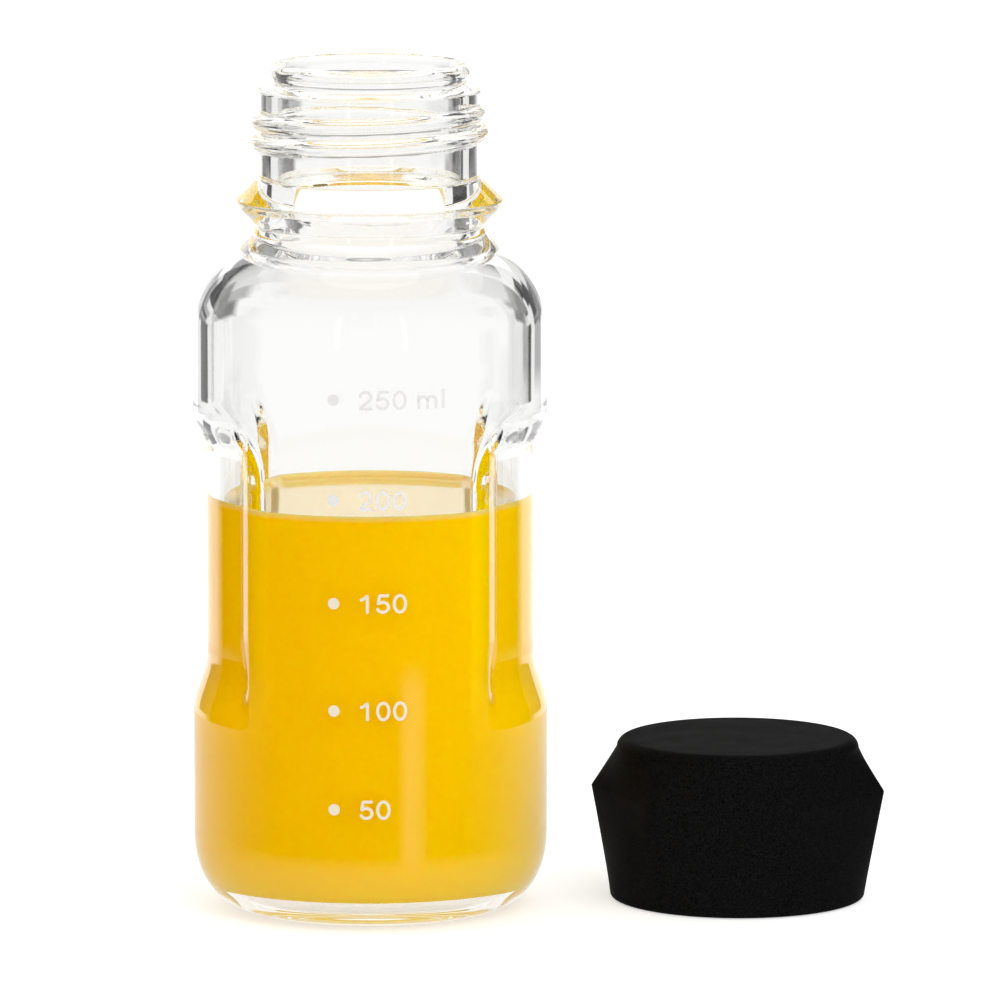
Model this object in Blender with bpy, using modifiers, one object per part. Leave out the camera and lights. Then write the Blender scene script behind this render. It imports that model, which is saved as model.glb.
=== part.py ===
"""Glass drinking bottle with a screw neck, pressed-in grips, orange juice and its hexagonal cap.

Units are metres and +Z is up. The origin is on the bottle's axis, in the plane that it stands on.
The front, with the volume marks, faces -Y. The grips are on the left (-X) and right (+X) sides.
"""
import math

import bpy
import bmesh

# Bottle, outside
BODY_RADIUS = 0.0331
TOTAL_HEIGHT = 0.15865
HEEL_FOOT_RADIUS = 0.0212
HEEL_HEIGHT = 0.0148
HEEL_POWER = 2.3
SHOULDER_START = 0.1088
SHOULDER_RADIUS = 0.0175
SHOULDER_END_RADIUS = 0.0240
NECK_RADIUS = 0.0208
NECK_TOP = 0.1539
NECK_EDGE_RADIUS = 0.0007
LEDGE_RISE = 0.0002
LIP_RADIUS = 0.0188
LIP_ROUNDING = 0.0018
LIP_WIDEST = 0.1566
LIP_BELOW = 0.0009
LIP_BELOW_RADIUS = 0.0185
LIP_ROOT_RADIUS = 0.0178
LIP_ROOT = 0.1549

# Collar under the thread, then the neck's root under it, as radius and height down the outside
COLLAR_CONE_TOP = 0.1374
COLLAR_EDGE = [(0.0239, 0.1340), (0.0248, 0.1329), (0.0243, 0.1314), (0.0224, 0.1294)]
COLLAR_UNDERSIDE = 0.1284
NECK_ROOT = [(0.0216, COLLAR_UNDERSIDE), (0.0219, 0.1270), (0.0227, 0.1256)]

# Bottle, inside
WALL = 0.0035
FLOOR_HEIGHT = 0.0042
FLOOR_DOME = 0.0005
INNER_HEEL_WIDTH = 0.0080
INNER_HEEL_HEIGHT = 0.0092
INNER_SHOULDER_END_RADIUS = 0.0187
NECK_BORE_RADIUS = 0.0171
NECK_BORE_FLARE = 0.0004
NECK_BORE_FLARE_DROP = 0.0024
MOUTH_RADIUS = 0.0154
MOUTH_NARROWING = 0.1500
MOUTH_START = 0.1545
MOUTH_EDGE = 0.0014
MOUTH_EDGE_FLARE = 0.0006
RIM_INNER_DROP = 0.0003

# Screw thread, right-handed, seen at the middle of its ridge
THREAD_PITCH = 0.0040
THREAD_RIDGE_RADIUS = 0.00155
THREAD_DEPTH_IN_NECK = 0.00015
THREAD_HEIGHT_AT_RIGHT = 0.1497
THREAD_START = math.radians(15)
THREAD_END = math.radians(-590)
THREAD_FADE = math.radians(35)
THREAD_END_THICKNESS = 0.35
THREAD_END_SINK = 0.00054
THREAD_POINTS_PER_TURN = 36

# Grips: half width from the side's middle, ends, depth, corner and the run of each slope
GRIP_OUTSIDE = {
    "half_angle": math.radians(46.3), "top": 0.0939, "bottom": 0.0371, "depth": 0.0026,
    "corner": 0.0040, "side_run": 0.0016, "top_run": 0.0072, "bottom_run": 0.0110,
}
GRIP_INSIDE = {
    "half_angle": math.radians(52), "top": 0.0958, "bottom": 0.0352, "depth": 0.0022,
    "corner": 0.0130, "side_run": 0.0055, "top_run": 0.0100, "bottom_run": 0.0140,
}
GRIP_LEAST_RADIUS = 0.0250
WALL_MIDDLE = BODY_RADIUS - 0.5 * WALL

# Juice
JUICE_LEVEL = 0.0778
JUICE_TOP_EDGE = 0.0010
CONTACT_GAP = 0.0003

# Cap, standing mouth down beside the bottle
CAP_PLACE = (0.0690, 0.0078, 0.0)
CAP_HEIGHT = 0.0304
CAP_ROUND_RADIUS = 0.0240
CAP_TOP_RADIUS = 0.0228
CAP_HEX_APOTHEM = 0.02445
CAP_HEX_HEIGHT = 0.0206
CAP_HEX_SHARPNESS = 40
CAP_HEX_TURN = math.radians(-7.5)
CAP_TOP_EDGE = 0.0020
CAP_RIDGE_EDGE = 0.0010
CAP_FOOT_EDGE = 0.0008
CAP_BORE_RADIUS = 0.0225
CAP_BORE_DEPTH = 0.0216
CAP_BORE_EDGE = 0.0012
CAP_FLANK_ROWS = (0.7, 0.4, 0.15)

# Fineness of the turned solids
BOTTLE_STEPS = 72
CAP_STEPS = 48
OUTER_SLOPE_ROWS = 4
INNER_SLOPE_ROWS = 3
FIRST_STEP = math.radians(2.5)
MERGE_DISTANCE = 0.00001
SMOOTH_ANGLE = math.radians(35)


def clear_scene():
    """Remove every object, so that the script can be run again in an open file."""
    for old in list(bpy.data.objects):
        bpy.data.objects.remove(old, do_unlink=True)


def new_collection(name):
    """A collection linked to the scene."""
    collection = bpy.data.collections.new(name)
    bpy.context.scene.collection.children.link(collection)
    return collection


def new_material(name, colour, roughness, transmission=0.0, ior=1.5):
    """A Principled material with the piece's own colour and finish."""
    material = bpy.data.materials.new(name)
    material.use_nodes = True
    shader = material.node_tree.nodes["Principled BSDF"]
    shader.inputs["Base Color"].default_value = (*colour, 1.0)
    shader.inputs["Roughness"].default_value = roughness
    shader.inputs["Metallic"].default_value = 0.0
    shader.inputs["Transmission Weight"].default_value = transmission
    shader.inputs["IOR"].default_value = ior
    material.diffuse_color = (*colour, 1.0)
    return material


def arc(centre, width, height, start, end, count, power=2.0):
    """Points of an ellipse, or of a squarer curve where power is over 2, start and end in degrees."""
    points = []
    for step in range(count + 1):
        turn = math.radians(start + (end - start) * step / count)
        across = math.copysign(abs(math.cos(turn)) ** (2.0 / power), math.cos(turn))
        up = math.copysign(abs(math.sin(turn)) ** (2.0 / power), math.sin(turn))
        points.append((centre[0] + width * across, centre[1] + height * up))
    return points


def smooth_step(value):
    """0 below 0, 1 above 1, and an S curve between."""
    value = min(max(value, 0.0), 1.0)
    return value * value * (3.0 - 2.0 * value)


def levels(low, high, count):
    """Heights spread evenly from low to high, both ends included."""
    return [low + (high - low) * step / count for step in range(count + 1)]


def inner_body_radius():
    """Radius of the room inside the body."""
    return BODY_RADIUS - WALL


def grip_rows(grip, slope_rows):
    """Heights at which a side wall needs a row of points, so that its grips have their slopes."""
    lower = levels(grip["bottom"], grip["bottom"] + grip["bottom_run"], slope_rows)
    upper = levels(grip["top"] - grip["top_run"], grip["top"], slope_rows)
    corner = levels(grip["top"] - grip["corner"] - grip["top_run"], grip["top"] - grip["top_run"], 2)
    return lower + corner[:-1] + upper


def outer_profile():
    """The outside, from the rim's top down to the middle of the underside."""
    shoulder_centre = (BODY_RADIUS - SHOULDER_RADIUS, SHOULDER_START)
    shoulder_end = math.degrees(math.acos((SHOULDER_END_RADIUS - shoulder_centre[0]) / SHOULDER_RADIUS))
    side = grip_rows(GRIP_OUTSIDE, OUTER_SLOPE_ROWS)
    points = arc((LIP_RADIUS - LIP_ROUNDING, LIP_WIDEST), LIP_ROUNDING, TOTAL_HEIGHT - LIP_WIDEST, 90, 0, 4)
    points += [(LIP_BELOW_RADIUS, LIP_WIDEST - LIP_BELOW), (LIP_ROOT_RADIUS, LIP_ROOT)]
    points += [(NECK_RADIUS - NECK_EDGE_RADIUS, NECK_TOP + LEDGE_RISE)]
    points += arc((NECK_RADIUS - NECK_EDGE_RADIUS, NECK_TOP - NECK_EDGE_RADIUS),
                  NECK_EDGE_RADIUS, NECK_EDGE_RADIUS, 60, 0, 2)
    points += [(NECK_RADIUS, COLLAR_CONE_TOP)] + COLLAR_EDGE + NECK_ROOT
    points += arc(shoulder_centre, SHOULDER_RADIUS, SHOULDER_RADIUS, shoulder_end, 0, 7)
    points += [(BODY_RADIUS, height) for height in reversed(side)]
    points += arc((HEEL_FOOT_RADIUS, HEEL_HEIGHT), BODY_RADIUS - HEEL_FOOT_RADIUS, HEEL_HEIGHT,
                  0, -90, 8, HEEL_POWER)
    return points + [(0.0, 0.0)]


def inner_profile(gap=0.0):
    """The room inside, from the middle of the floor up to the mouth, drawn in by the gap."""
    inner_radius = inner_body_radius() - gap
    arc_radius = SHOULDER_RADIUS - WALL
    shoulder_centre = (BODY_RADIUS - SHOULDER_RADIUS, SHOULDER_START)
    shoulder_end = math.degrees(math.acos((INNER_SHOULDER_END_RADIUS - shoulder_centre[0]) / arc_radius))
    heel_centre = (inner_radius - INNER_HEEL_WIDTH, FLOOR_HEIGHT + gap + INNER_HEEL_HEIGHT)
    points = [(0.0, FLOOR_HEIGHT + gap + FLOOR_DOME)]
    points += arc(heel_centre, INNER_HEEL_WIDTH, INNER_HEEL_HEIGHT, -90, 0, 5)
    points += [(inner_radius, height) for height in grip_rows(GRIP_INSIDE, INNER_SLOPE_ROWS)]
    points += arc(shoulder_centre, arc_radius, arc_radius, 0, shoulder_end, 6)
    points += [(NECK_BORE_RADIUS + NECK_BORE_FLARE, COLLAR_UNDERSIDE - NECK_BORE_FLARE_DROP)]
    points += [(NECK_BORE_RADIUS, COLLAR_UNDERSIDE), (NECK_BORE_RADIUS, MOUTH_NARROWING)]
    points += [(MOUTH_RADIUS, MOUTH_START), (MOUTH_RADIUS, TOTAL_HEIGHT - MOUTH_EDGE)]
    points += [(MOUTH_RADIUS + MOUTH_EDGE_FLARE, TOTAL_HEIGHT - RIM_INNER_DROP)]
    return points


def cap_profile():
    """The cap's wall at the middle of a side: over the top, down the outside, and up the bore."""
    slope = (CAP_HEX_APOTHEM - CAP_TOP_RADIUS) / (CAP_HEIGHT - CAP_TOP_EDGE - CAP_HEX_HEIGHT)
    above_ridge = CAP_HEX_APOTHEM - slope * CAP_RIDGE_EDGE
    points = [(0.0, CAP_HEIGHT)]
    points += arc((CAP_TOP_RADIUS - CAP_TOP_EDGE, CAP_HEIGHT - CAP_TOP_EDGE), CAP_TOP_EDGE, CAP_TOP_EDGE, 90, 0, 4)
    points += [(above_ridge, CAP_HEX_HEIGHT + CAP_RIDGE_EDGE), (CAP_HEX_APOTHEM, CAP_HEX_HEIGHT)]
    points += [(CAP_HEX_APOTHEM, CAP_HEX_HEIGHT - CAP_RIDGE_EDGE)]
    points += [(CAP_ROUND_RADIUS + (CAP_HEX_APOTHEM - CAP_ROUND_RADIUS) * share, CAP_HEX_HEIGHT * share)
               for share in CAP_FLANK_ROWS]
    points += arc((CAP_ROUND_RADIUS - CAP_FOOT_EDGE, CAP_FOOT_EDGE), CAP_FOOT_EDGE, CAP_FOOT_EDGE, 0, -90, 3)
    points += [(CAP_BORE_RADIUS, 0.0), (CAP_BORE_RADIUS, CAP_BORE_DEPTH - CAP_BORE_EDGE)]
    points += [(CAP_BORE_RADIUS - CAP_BORE_EDGE, CAP_BORE_DEPTH), (0.0, CAP_BORE_DEPTH)]
    return points


def turned(name, profile, steps, first_angle):
    """A mesh object made by turning a profile round Z with a Screw modifier, then applied."""
    mesh = bpy.data.meshes.new(name + "_profile")
    points = [(radius * math.cos(first_angle), radius * math.sin(first_angle), height)
              for radius, height in profile]
    mesh.from_pydata(points, [(index, index + 1) for index in range(len(points) - 1)], [])
    guide = bpy.data.objects.new(name + "_profile", mesh)
    bpy.context.scene.collection.objects.link(guide)
    screw = guide.modifiers.new("Turn", "SCREW")
    screw.axis = "Z"
    screw.angle = math.tau
    screw.steps = steps
    screw.render_steps = steps
    screw.use_merge_vertices = True
    screw.merge_threshold = MERGE_DISTANCE
    return applied(guide, name)


def applied(source, name):
    """A mesh object with the source's evaluated shape, in the source's place."""
    bpy.context.view_layer.update()
    depsgraph = bpy.context.evaluated_depsgraph_get()
    mesh = bpy.data.meshes.new_from_object(source.evaluated_get(depsgraph))
    mesh.name = name
    result = bpy.data.objects.new(name, mesh)
    result.matrix_world = source.matrix_world
    bpy.data.objects.remove(source, do_unlink=True)
    return result


def reshape_radius(piece, rule):
    """Move each point of a turned mesh to the radius that rule(radius, angle, height) gives."""
    for vertex in piece.data.vertices:
        x, y, height = vertex.co
        radius = math.hypot(x, y)
        if radius > MERGE_DISTANCE:
            scale = rule(radius, math.atan2(y, x), height) / radius
            vertex.co = (x * scale, y * scale, height)


def grip_depth(grip, angle, height):
    """How far the wall is pressed in at one place, 0 outside the grips."""
    off_middle = min(abs(math.remainder(angle, math.tau)), abs(math.remainder(angle - math.pi, math.tau)))
    from_side = (grip["half_angle"] - off_middle) * BODY_RADIUS
    from_top = grip["top"] - height
    if from_side <= 0 or from_top <= 0 or height <= grip["bottom"]:
        return 0.0
    corner_side = max(grip["corner"] - from_side, 0.0)
    corner_top = max(grip["corner"] - from_top, 0.0)
    reach = math.hypot(corner_side, corner_top)
    side_share = (corner_side / reach) ** 2 if reach > 0 else 0.5
    run = grip["side_run"] * side_share + grip["top_run"] * (1 - side_share)
    rounded = smooth_step((grip["corner"] - reach) / run)
    side = smooth_step(from_side / grip["side_run"])
    top = smooth_step(from_top / grip["top_run"])
    bottom = smooth_step((height - grip["bottom"]) / grip["bottom_run"])
    in_corner = corner_side > 0 and corner_top > 0
    return grip["depth"] * bottom * (min(rounded, side, top) if in_corner else side * top)


def press_grips(piece):
    """Press both grips into a turned piece: points outside the wall's middle follow the outer form."""
    def rule(radius, angle, height):
        if radius < GRIP_LEAST_RADIUS:
            return radius
        grip = GRIP_OUTSIDE if radius > WALL_MIDDLE else GRIP_INSIDE
        return radius - grip_depth(grip, angle, height)
    reshape_radius(piece, rule)


def hexagon_ratio(angle):
    """Radius of the soft-cornered hexagon at an angle, as a ratio of its apothem."""
    total = 0.0
    for side in range(6):
        facing = math.cos(angle - CAP_HEX_TURN - math.radians(30 + 60 * side))
        total += max(facing, 0.0) ** CAP_HEX_SHARPNESS
    return total ** (-1.0 / CAP_HEX_SHARPNESS)


def make_cap_hexagonal(piece):
    """Draw the cap's outside out to its hexagonal ridge, from a round top and a round foot."""
    def rule(radius, angle, height):
        inside = radius < CAP_BORE_RADIUS + MERGE_DISTANCE and height < CAP_BORE_DEPTH + MERGE_DISTANCE
        if inside:
            return radius
        if height > CAP_HEX_HEIGHT:
            share = (CAP_HEIGHT - CAP_TOP_EDGE - height) / (CAP_HEIGHT - CAP_TOP_EDGE - CAP_HEX_HEIGHT)
        else:
            share = (height - CAP_FOOT_EDGE) / (CAP_HEX_HEIGHT - CAP_FOOT_EDGE)
        share = min(max(share, 0.0), 1.0)
        return radius * (1.0 + share * (hexagon_ratio(angle) - 1.0))
    reshape_radius(piece, rule)


def make_thread():
    """The thread's ridge: a tube along a helix, sunk in the neck and tapering at both ends."""
    curve = bpy.data.curves.new("thread_path", "CURVE")
    curve.dimensions = "3D"
    curve.bevel_depth = THREAD_RIDGE_RADIUS
    curve.bevel_resolution = 2
    curve.use_fill_caps = True
    spline = curve.splines.new("POLY")
    count = round((THREAD_START - THREAD_END) / math.tau * THREAD_POINTS_PER_TURN)
    spline.points.add(count)
    for index, point in enumerate(spline.points):
        angle = THREAD_START + (THREAD_END - THREAD_START) * index / count
        fade = smooth_step(min(THREAD_START - angle, angle - THREAD_END) / THREAD_FADE)
        point.radius = THREAD_END_THICKNESS + (1 - THREAD_END_THICKNESS) * fade
        path_radius = NECK_RADIUS - THREAD_DEPTH_IN_NECK - THREAD_END_SINK * (1 - fade)
        height = THREAD_HEIGHT_AT_RIGHT + THREAD_PITCH * angle / math.tau
        point.co = (path_radius * math.cos(angle), path_radius * math.sin(angle), height, 1.0)
    path = bpy.data.objects.new("thread_path", curve)
    bpy.context.scene.collection.objects.link(path)
    thread = applied(path, "thread_ridge")
    weld(thread.data)
    return thread


def weld(mesh):
    """Join points that lie on each other, so that a curve's caps close it."""
    work = bmesh.new()
    work.from_mesh(mesh)
    bmesh.ops.remove_doubles(work, verts=work.verts, dist=MERGE_DISTANCE)
    bmesh.ops.recalc_face_normals(work, faces=work.faces)
    work.to_mesh(mesh)
    work.free()


def finish(piece, collection, material):
    """Put a piece in its collection with its material and smooth shading."""
    collection.objects.link(piece)
    piece.data.materials.clear()
    piece.data.materials.append(material)
    piece.data.shade_smooth()
    piece.data.set_sharp_from_angle(angle=SMOOTH_ANGLE)


def make_bottle(collection, cutters):
    """The bottle: one solid of glass, open at the mouth, with the thread grown onto its neck."""
    profile = inner_profile() + outer_profile()
    bottle = turned("glass_bottle", profile, BOTTLE_STEPS, FIRST_STEP)
    press_grips(bottle)
    glass = new_material("clear_glass", (0.95, 0.97, 0.96), 0.02, transmission=1.0, ior=1.47)
    finish(bottle, collection, glass)
    thread = make_thread()
    cutters.objects.link(thread)
    thread.hide_render = True
    thread.display_type = "WIRE"
    union = bottle.modifiers.new("Thread", "BOOLEAN")
    union.operation = "UNION"
    union.object = thread


def make_juice(collection):
    """The juice: a solid up to its level, a gap short of the glass all round."""
    sides = [point for point in inner_profile(CONTACT_GAP) if point[1] < JUICE_LEVEL - JUICE_TOP_EDGE]
    profile = [(0.0, JUICE_LEVEL), (inner_body_radius() - CONTACT_GAP, JUICE_LEVEL)] + sides[::-1]
    juice = turned("orange_juice", profile, BOTTLE_STEPS, FIRST_STEP)
    press_grips(juice)
    finish(juice, collection, new_material("orange_juice", (0.93, 0.52, 0.01), 0.35, ior=1.35))


def make_cap(collection):
    """The cap: a hollow lid whose round top and round foot meet at a hexagonal ridge."""
    cap = turned("cap", cap_profile(), CAP_STEPS, CAP_HEX_TURN)
    make_cap_hexagonal(cap)
    cap.location = CAP_PLACE
    finish(cap, collection, new_material("black_silicone", (0.02, 0.02, 0.021), 0.55))


def main():
    """Build the bottle, its juice and its cap."""
    clear_scene()
    collection = new_collection("glass_drinking_bottle")
    cutters = new_collection("cutters")
    make_bottle(collection, cutters)
    make_juice(collection)
    make_cap(collection)


main()
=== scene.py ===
"""Looks of the glass drinking bottle: fine glass, juice, volume marks and cap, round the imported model.

Units are metres and +Z is up. The bottle stands on the origin and its front faces -Y.
"""

import math

import bpy
import numpy as np
from mathutils import Matrix, Vector


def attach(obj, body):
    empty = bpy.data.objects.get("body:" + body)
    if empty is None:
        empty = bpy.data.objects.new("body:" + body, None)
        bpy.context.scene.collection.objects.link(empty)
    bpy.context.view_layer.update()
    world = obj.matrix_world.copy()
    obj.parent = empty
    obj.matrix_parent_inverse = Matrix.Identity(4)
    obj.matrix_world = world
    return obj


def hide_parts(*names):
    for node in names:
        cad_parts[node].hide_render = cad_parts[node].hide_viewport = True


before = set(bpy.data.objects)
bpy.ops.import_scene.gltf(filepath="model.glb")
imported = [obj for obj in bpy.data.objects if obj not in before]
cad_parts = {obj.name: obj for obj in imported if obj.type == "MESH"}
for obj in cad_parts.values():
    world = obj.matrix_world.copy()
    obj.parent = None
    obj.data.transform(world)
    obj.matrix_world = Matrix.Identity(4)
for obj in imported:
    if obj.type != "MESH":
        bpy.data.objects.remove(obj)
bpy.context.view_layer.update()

# Bottle, outside
BODY_RADIUS = 0.0331
TOTAL_HEIGHT = 0.15865
HEEL_FOOT_RADIUS = 0.0212
HEEL_HEIGHT = 0.0148
HEEL_POWER = 2.3
SHOULDER_START = 0.1088
SHOULDER_RADIUS = 0.0175
SHOULDER_END_RADIUS = 0.0240
NECK_RADIUS = 0.0208
NECK_TOP = 0.1539
NECK_EDGE_RADIUS = 0.0006
LEDGE_RISE = -0.0003
LIP_RADIUS = 0.0188
LIP_ROUNDING = 0.0018
LIP_WIDEST = 0.1566
LIP_BELOW = 0.00089
LIP_BELOW_RADIUS = 0.0185
LIP_ROOT_RADIUS = 0.0180
LIP_ROOT = 0.1553
COLLAR_CONE_TOP = 0.13716
COLLAR_EDGE = [(0.02353, 0.13438), (0.02488, 0.13313), (0.02427, 0.13165), (0.02246, 0.12984)]
COLLAR_UNDERSIDE = 0.12844
NECK_ROOT = [(0.02128, COLLAR_UNDERSIDE), (0.02168, 0.12691), (0.02264, 0.12576)]

# Bottle, inside
WALL = 0.0035
FLOOR_HEIGHT = 0.0042
FLOOR_DOME = 0.0005
INNER_HEEL_WIDTH = 0.0080
INNER_HEEL_HEIGHT = 0.0092
INNER_SHOULDER_END_RADIUS = 0.02118
NECK_BORE_RADIUS = 0.0171
NECK_BORE_FLARE = [(0.01919, 0.12286), (0.01794, 0.12364), (0.01742, 0.12495)]
NECK_BORE_START = 0.12967
MOUTH_RADIUS = 0.01541
MOUTH_NARROWING = 0.1538
MOUTH_START = 0.15599
MOUTH_EDGE = 0.00149
MOUTH_EDGE_FLARE = 0.0006
RIM_INNER_DROP = 0.0003

# Screw thread
THREAD_PITCH = 0.0040
THREAD_RISE = 0.00138
THREAD_HALF_WIDTH = 0.00155
THREAD_HEIGHT_AT_RIGHT = 0.1497
THREAD_START = math.radians(15)
THREAD_END = math.radians(-590)
THREAD_FADE = math.radians(35)
THREAD_END_THICKNESS = 0.35
THREAD_FLATNESS = 2.3
THREAD_FULLNESS = 0.75
THREAD_TURNS = 3

# Grips
GRIP_OUTSIDE = {
    "half_angle": math.radians(48.1), "top": 0.0939, "bottom": 0.0371, "depth": 0.0026,
    "corner": 0.0040, "side_run": (0.0026, 0.0051), "top_run": 0.0072, "bottom_run": 0.0110,
}
GRIP_INSIDE = {
    "half_angle": math.radians(52), "top": 0.0958, "bottom": 0.0352, "depth": 0.0022,
    "corner": 0.0130, "side_run": (0.0055, 0.0055), "top_run": 0.0100, "bottom_run": 0.0140,
}
GRIP_RUN_HEIGHTS = (0.0405, 0.0530)
GRIP_LEAST_RADIUS = 0.0250
GRIP_SIDE_SOFTNESS = 0.08
WALL_MIDDLE = BODY_RADIUS - 0.5 * WALL

# Juice
JUICE_LEVEL = 0.0766
JUICE_CLIMB = 0.0014
JUICE_CLIMB_LENGTH = 0.0011
JUICE_INTO_WALL = 0.00012
JUICE_OFF_FLOOR = 0.00010
JUICE_HEEL_CONTACT = (0.0055, 0.0064)
JUICE_TOP_MARGIN = 0.0004
JUICE_TOP_SHARES = (0.08, 0.80)
JUICE_TOP_ROWS = 10
JUICE_EDGE_DISTANCES = (0.0055, 0.00005)
JUICE_EDGE_ROWS = 24
# Heights over the juice's level of a painted lighter band where the juice climbs the glass, standing in for
# light through its thin edge, then that painted colour
JUICE_PAINTED_BAND = (0.0002, 0.0013)
JUICE_PAINTED_BAND_COLOUR = (0.945, 0.720, 0.260)

# Volume marks: height of each dot's middle, and how far the marks stand round from the front
MARKS = [(0.09985, "250 ml"), (0.08125, "200"), (0.06212, "150"), (0.04211, "100"), (0.02366, "50")]
MARK_DOT_ANGLE = math.radians(-11.0)
MARK_DOT_RADIUS = 0.00107
MARK_TEXT_ANGLE = math.radians(-3.27)
MARK_HEIGHT = 0.00375
MARK_STROKE = 0.00028
MARK_PROUD = 0.00004
MARK_SUNK = 0.00002
MARK_DOT_STEPS = 24
MARK_STROKE_STEP = 0.06
MARK_STROKE_END = (80, 60, 40, 20)

# Cap
CAP_PLACE = Vector((0.0690, 0.0078, 0.0))
CAP_HEIGHT = 0.0304
CAP_ROUND_RADIUS = 0.0240
CAP_TOP_RADIUS = 0.0228
CAP_HEX_APOTHEM = 0.02445
CAP_HEX_HEIGHT = 0.0206
CAP_HEX_SHARPNESS = 40
CAP_HEX_TURN = math.radians(-7.5)
CAP_TOP_EDGE = 0.0020
CAP_FOOT_EDGE = 0.0008
CAP_BORE_RADIUS = 0.0225
CAP_BORE_DEPTH = 0.0216
CAP_BORE_EDGE = 0.0012

# Camera
CAMERA_PLACE = (0.02425, -1.8197, 0.3480)
CAMERA_DROP = math.radians(8.485)
CAMERA_LENS = 354.6
CAMERA_SENSOR = 36.0
CAMERA_CLIP = (0.05, 50.0)

# Stage: the floor, and a faint white sheet that only reflections see
FLOOR_LEVEL = -0.00015
FLOOR_HALF_SIZE = 6.0
SHEET_RADIUS = 0.105
SHEET_FADE_START = 0.055
DISC_CORNERS = 48

# Curves of light round the stage: degrees from the front, then how light
WALL_COLUMNS = 96
CURVE_TOP = 4.0
LIGHT_ON_JUICE = [
    (-180, 2.2), (-150, 1.6), (-130, 1.15), (-95, 1.14), (-50, 1.42), (0, 2.18), (60, 2.18), (100, 1.59),
    (132, 1.37), (150, 1.6), (180, 2.2),
]
REFLECTED_LEFT = [
    (62, 0.0), (85, 0.22), (98, 0.55), (109, 0.8), (122, 1.0), (145, 1.1), (180, 0.95),
]
REFLECTED_RIGHT = [(18, 0.0), (24, 1.3), (30, 1.3), (38, 0.0)] + REFLECTED_LEFT
REFLECTED_ABOVE = [(62, 0.0), (126, 0.0), (136, 1.6), (160, 1.5), (180, 0.95)]
REFLECTED_RADIUS = 0.9
REFLECTED_HEIGHTS = (-0.9, 2.6)
REFLECTED_CHANGE = (-0.103, -0.092)

# The wall and the disc that show through the glass, and the colour and strength of their light on the juice;
# the wall's turns from warm to white between two shares of the way round, from the back over the left
SURROUND_RADIUS = 0.30
SURROUND_TOP = 0.6
SURROUND_CHANGE = (0.07, 0.10)
SURROUND_SEEN = (1.02, 0.975)
WARM_LIGHT = (1.0, 0.72, 0.62)
WHITE_LIGHT = (1.0, 1.0, 1.0)
WARM_TO_WHITE = (0.40, 0.50)
TOP_LIGHT = 2.8
TOP_LIGHT_COLOUR = (1.0, 0.88, 0.76)

# Dark and grey cards behind the bottle: from and to in degrees from the front, foot and top, how light
CARD_LIGHT = 1.25
CARD_FADE_ANGLE = 2.2
CARD_FADE_HEIGHT = 0.0060
CARD_RADIUS = 0.299
CARD_STEP = 0.0001
CARD_LEAST_COLUMNS = 2
RING_COLUMNS = 60
CARDS = [
    ("card_ring", -180, 180, 0.42, 0.60, 0.60),
    ("card_back_high", 160.5, 199.5, 0.295, 0.420, 0.35),
    ("card_left", -147.5, -136.5, 0.050, 0.095, 0.06),
    ("card_left_middle", -153.0, -140.0, 0.095, 0.102, 0.06),
    ("card_left_gap", -152.5, -140.0, 0.102, 0.1085, 0.45),
    ("card_left_shoulder", -153.0, -140.0, 0.1085, 0.116, 0.06),
    ("card_left_neck_gap", -152.5, -137.0, 0.116, 0.1225, 0.50),
    ("card_left_grey", -152.5, -146.0, 0.1225, 0.165, 0.45),
    ("card_left_upper", -146.0, -130.0, 0.145, 0.190, 0.06),
    ("card_left_top", -151.0, -130.0, 0.190, 0.340, 0.06),
    ("card_left_far", -130.0, -112.0, 0.140, 0.360, 0.08),
    ("card_left_crest", -160.0, -151.0, 0.205, 0.340, 0.08),
    ("card_left_neck", -161.0, -152.5, 0.1125, 0.156, 0.13),
    ("card_left_neck_side", -166.0, -161.0, 0.1125, 0.135, 0.45),
    ("card_left_neck_low", -163.0, -152.5, 0.092, 0.1085, 0.15),
    ("card_left_collar", -112.0, -97.0, 0.010, 0.062, 0.14),
    ("card_left_haze", -171.0, -161.0, 0.135, 0.205, 0.84),
    ("card_right_low", 108.0, 134.5, 0.055, 0.098, 0.06),
    ("card_right_low_grey", 143.0, 153.0, 0.064, 0.095, 0.40),
    ("card_right_neck_side", 108.0, 127.0, 0.098, 0.125, 0.10),
    ("card_right", 143.0, 153.0, 0.095, 0.1015, 0.06),
    ("card_right_gap", 143.0, 160.0, 0.1015, 0.1085, 0.30),
    ("card_right_shoulder", 143.0, 153.0, 0.1085, 0.142, 0.06),
    ("card_right_edge_low", 153.0, 160.0, 0.088, 0.1015, 0.10),
    ("card_right_edge", 153.0, 160.0, 0.1085, 0.142, 0.10),
    ("card_right_middle", 139.0, 150.0, 0.142, 0.170, 0.07),
    ("card_right_upper", 136.5, 146.0, 0.170, 0.205, 0.06),
    ("card_right_far", 110.0, 133.5, 0.130, 0.340, 0.08),
    ("card_right_top", 140.0, 152.0, 0.262, 0.340, 0.10),
    ("card_right_neck", 160.0, 164.0, 0.1035, 0.142, 0.40),
    ("card_right_collar", 98.0, 112.0, 0.010, 0.068, 0.14),
    ("card_right_haze", 164.0, 171.0, 0.112, 0.160, 0.84),
]

# Cards and windows that only reflections see, given the same way
SHEEN_RADIUS = 0.89
SHEEN_COLUMNS = 8
SHEENS = [
    ("sheen_left", -147.0, -126.0, -0.0375, 1.100, 0.20),
    ("sheen_right", 126.0, 147.0, -0.0375, 1.100, 0.20),
    ("sheen_right_upper", 147.0, 162.0, 0.090, 0.450, 0.20),
    ("window_left", -22.0, -18.5, 0.030, 0.700, 1.8),
    ("window_right", 21.5, 25.0, 0.030, 0.700, 1.8),
]

# The studio's lamp, and how often light may bounce
KEY_SIZE = 1.5
KEY_POWER = 15.0
KEY_PLACE = (0.9, -1.6, 1.5)
KEY_TARGET = (0.0, 0.0, 0.06)
LIGHT_BOUNCES = 28

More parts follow.
